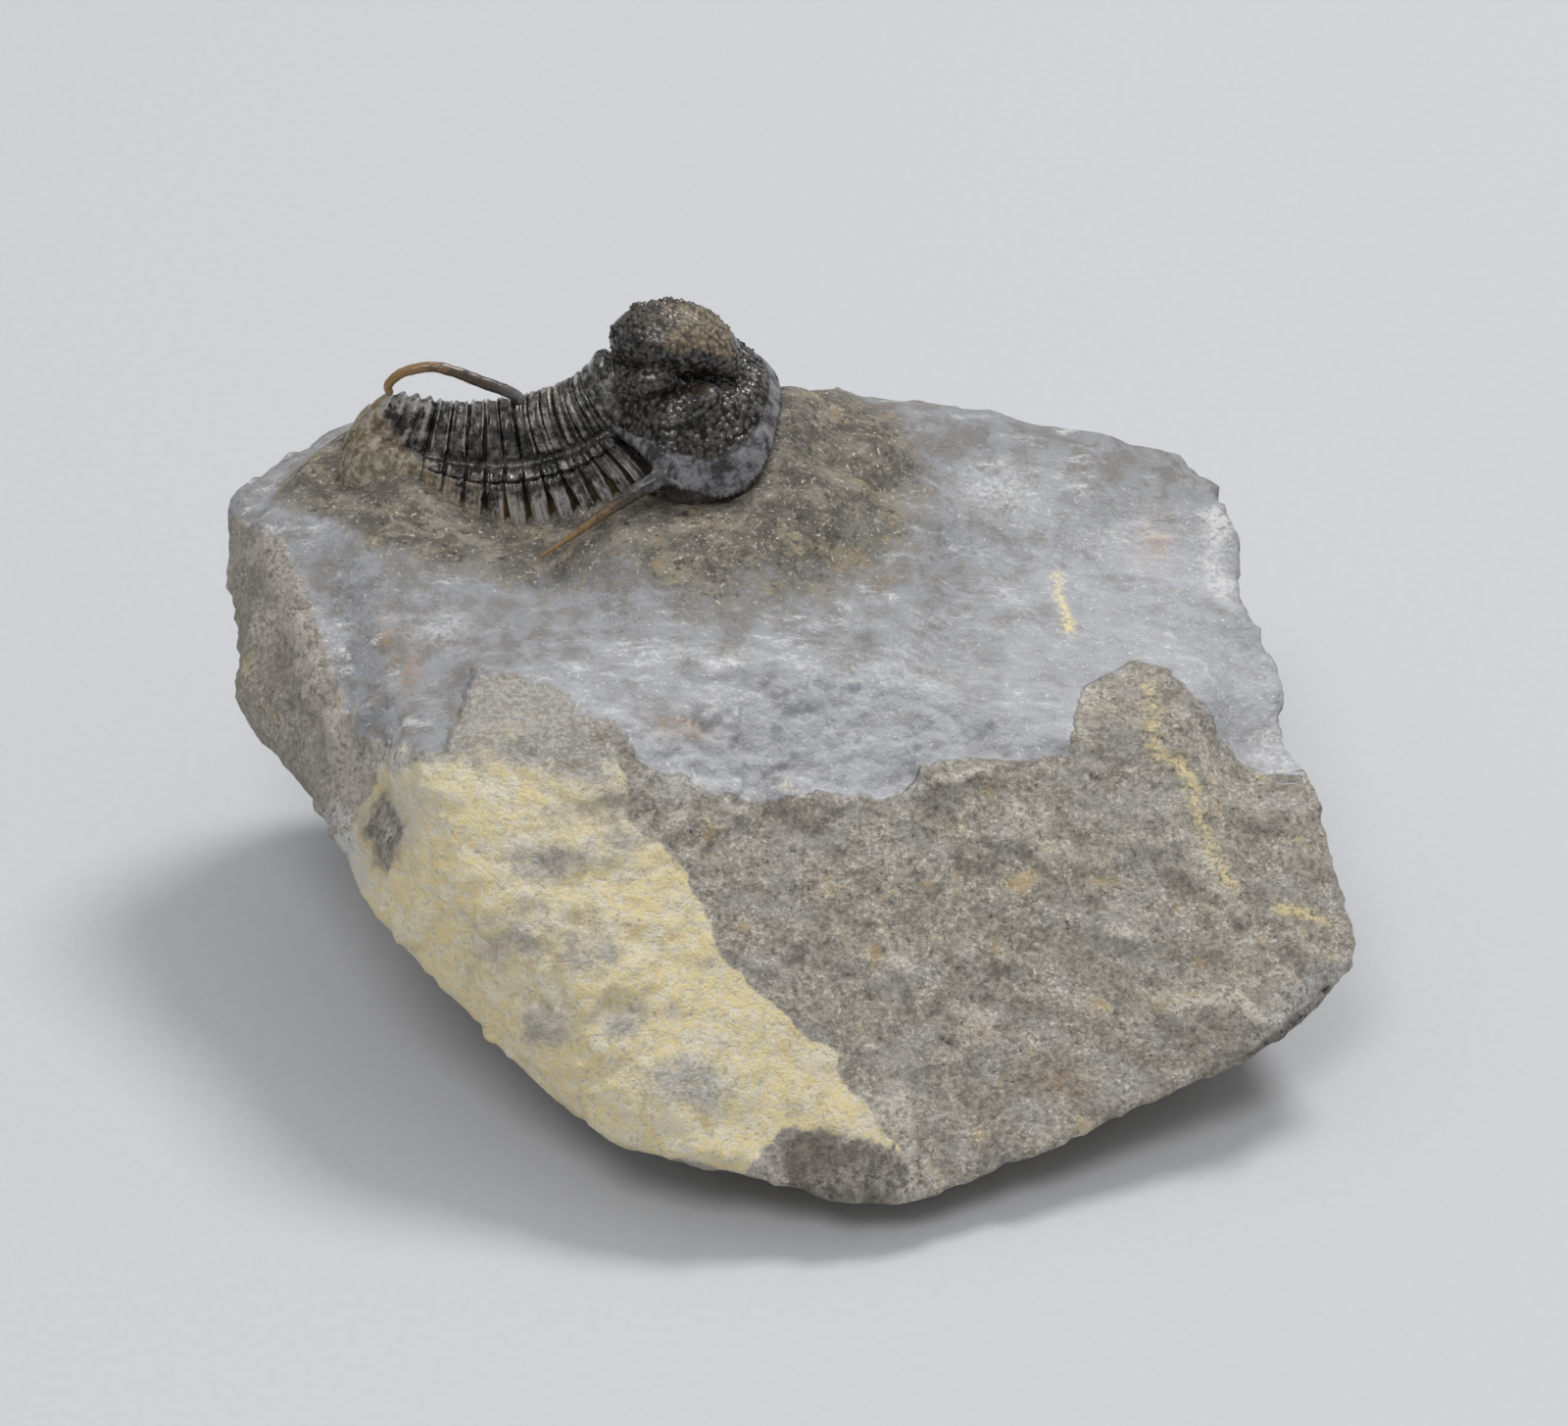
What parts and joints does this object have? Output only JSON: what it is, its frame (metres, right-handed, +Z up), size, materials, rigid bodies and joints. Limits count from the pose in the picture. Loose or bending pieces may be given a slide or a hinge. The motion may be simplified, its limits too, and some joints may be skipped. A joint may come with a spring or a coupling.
{
  "type": "trilobite fossil on a rock base",
  "caption": "Natural trilobite fossil with a knobbed round head, ribbed bent body and a long back spine, prepared free on top of its rough grey limestone block.",
  "frame": {"origin": "middle of the footprint, at the surface the stone rests on", "axes": "+X towards the animal's front, along the stone's longest extent; +Y away from the viewer; +Z up"},
  "size_m": [0.0554, 0.0424, 0.0327],
  "materials": {
    "stone": "rough broken limestone, lighter where it was air-abraded",
    "shell": "black calcite shell with a soft sheen and a granular skin"
  },
  "bodies": {
    "root": {"matrix": "stone", "cephalon": "shell", "thoracic_segment_01": "shell", "thoracic_segment_02": "shell", "thoracic_segment_03": "shell", "thoracic_segment_04": "shell", "thoracic_segment_05": "shell", "thoracic_segment_06": "shell", "thoracic_segment_07": "shell", "thoracic_segment_08": "shell", "thoracic_segment_09": "shell", "thoracic_segment_10": "shell", "thoracic_segment_11": "shell", "pygidium": "shell"}
  },
  "joints": []
}
